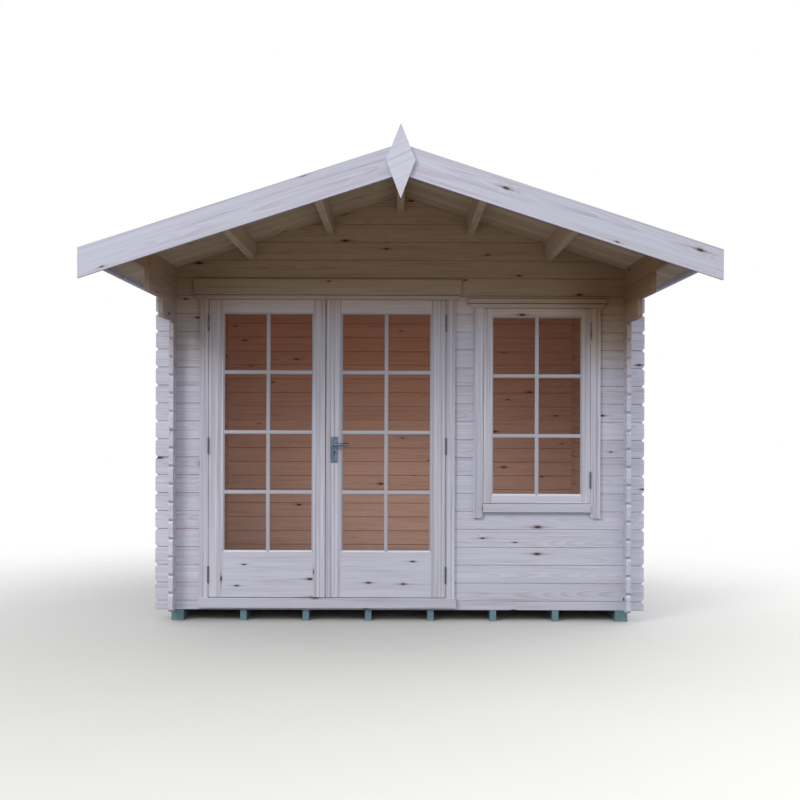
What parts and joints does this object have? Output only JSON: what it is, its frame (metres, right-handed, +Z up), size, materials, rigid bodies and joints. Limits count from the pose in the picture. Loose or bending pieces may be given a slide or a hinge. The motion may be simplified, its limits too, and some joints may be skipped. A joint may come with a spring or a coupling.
{
  "type": "log cabin",
  "caption": "Garden log cabin with interlocking corner logs, a deep bracketed roof overhang in front, glazed double doors and a paned window.",
  "frame": {"origin": "on the ground, in the middle of the box that holds the whole cabin", "axes": "+Z up, +X to the right as seen from the front, +Y away from the front wall"},
  "size_m": [3.422, 3.673, 2.8602],
  "materials": {
    "treated_wood": "sawn softwood with green preservative",
    "floor_wood": "planed softwood boards",
    "log_wood": "planed untreated spruce",
    "roof_wood": "planed softwood boards and purlins",
    "trim_wood": "planed pale spruce trim",
    "felt": "mineral-faced roofing felt",
    "frame_wood": "planed pale spruce",
    "leaf_wood": "planed pale spruce",
    "glass": "clear float glass",
    "zinc": "zinc-plated steel",
    "handle_metal": "satin steel"
  },
  "bodies": {
    "cabin": {"back_fascia": "trim_wood", "back_wall": "log_wood", "bearers": "treated_wood", "door_head": "frame_wood", "door_jambs": "frame_wood", "door_threshold": "frame_wood", "eaves_trims": "trim_wood", "finial": "trim_wood", "floor": "floor_wood", "frame_hinges": "zinc", "front_fascia": "trim_wood", "front_gable": "log_wood", "front_wall_base": "log_wood", "front_wall_left": "log_wood", "front_wall_pier": "log_wood", "front_wall_right": "log_wood", "head_boards": "frame_wood", "left_wall": "log_wood", "ridge_purlin": "roof_wood", "right_wall": "log_wood", "roof_boards_left": "roof_wood", "roof_boards_right": "roof_wood", "roof_felt": "felt", "side_purlins": "roof_wood", "window_glass": "glass", "window_glazing_bars": "leaf_wood", "window_head": "frame_wood", "window_jambs": "frame_wood", "window_rails": "leaf_wood", "window_sill": "frame_wood", "window_stiles": "leaf_wood"},
    "left_door": {"left_door_stiles": "leaf_wood", "left_door_rails": "leaf_wood", "left_door_glazing_bars": "leaf_wood", "left_door_glass": "glass", "left_door_strip": "leaf_wood", "left_door_hinges": "zinc"},
    "right_door": {"right_door_stiles": "leaf_wood", "right_door_rails": "leaf_wood", "right_door_glazing_bars": "leaf_wood", "right_door_glass": "glass", "right_door_astragal": "leaf_wood", "right_door_hinges": "zinc", "handle_plates": "handle_metal"},
    "lever": {"lever": "handle_metal"}
  },
  "joints": [
    {"name": "left_door_hinge", "type": "hinge", "parent": "cabin", "child": "left_door", "pos_m": [-1.2235, -0.5868, 1.104], "axis": [0, 0, -1], "range_deg": [0, 100]},
    {"name": "right_door_hinge", "type": "hinge", "parent": "cabin", "child": "right_door", "pos_m": [0.2935, -0.5868, 1.104], "axis": [0, 0, 1], "range_deg": [0, 150]},
    {"name": "lever_turn", "type": "hinge", "parent": "right_door", "child": "lever", "pos_m": [-0.419, -0.5615, 1.13], "axis": [0, 1, 0], "range_deg": [0, 40], "stiffness_Nm_per_rad": 1.2, "springref_deg": -34.38}
  ]
}
